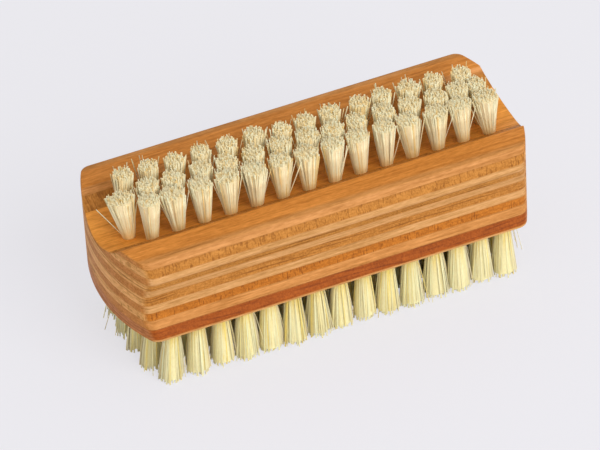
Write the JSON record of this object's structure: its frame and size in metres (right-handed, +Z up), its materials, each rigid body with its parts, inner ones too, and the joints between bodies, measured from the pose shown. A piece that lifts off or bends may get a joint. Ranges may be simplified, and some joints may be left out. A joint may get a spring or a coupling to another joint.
{
  "type": "nail brush",
  "caption": "Double-sided wooden nail brush: laminated block with bowed ends, finger grooves, short tufts in a trough on top and longer tufts below.",
  "frame": {"origin": "middle of the brush in plan, at the level of the lower bristle tips", "axes": "+X along the block's length, +Y from the front long side to the back one, +Z up"},
  "size_m": [0.0964, 0.0386, 0.0424],
  "materials": {
    "veneer_light": "oiled long-grain veneer, satin",
    "veneer_dark": "oiled cross-grain veneer, satin, with end-grain ticks",
    "anchor_steel": "plain flat steel strip",
    "plant_fibre": "bleached pale plant fibre, dry and slightly glossy"
  },
  "bodies": {
    "root": {"ply_01_front": "veneer_light", "ply_01_back": "veneer_light", "ply_03": "veneer_light", "ply_05": "veneer_light", "ply_07": "veneer_light", "ply_09": "veneer_light", "ply_11": "veneer_light", "ply_02_front": "veneer_dark", "ply_02_back": "veneer_dark", "ply_04": "veneer_dark", "ply_06": "veneer_dark", "ply_08": "veneer_dark", "ply_10": "veneer_dark", "upper_anchors_front": "anchor_steel", "upper_anchors_middle": "anchor_steel", "upper_anchors_back": "anchor_steel", "lower_anchors_1": "anchor_steel", "lower_anchors_2": "anchor_steel", "lower_anchors_3": "anchor_steel", "lower_anchors_4": "anchor_steel", "lower_anchors_5": "anchor_steel", "lower_anchors_6": "anchor_steel", "upper_tufts_front": "plant_fibre", "upper_tufts_middle": "plant_fibre", "upper_tufts_back": "plant_fibre", "lower_tufts_1": "plant_fibre", "lower_tufts_2": "plant_fibre", "lower_tufts_3": "plant_fibre", "lower_tufts_4": "plant_fibre", "lower_tufts_5": "plant_fibre", "lower_tufts_6": "plant_fibre"}
  },
  "joints": []
}
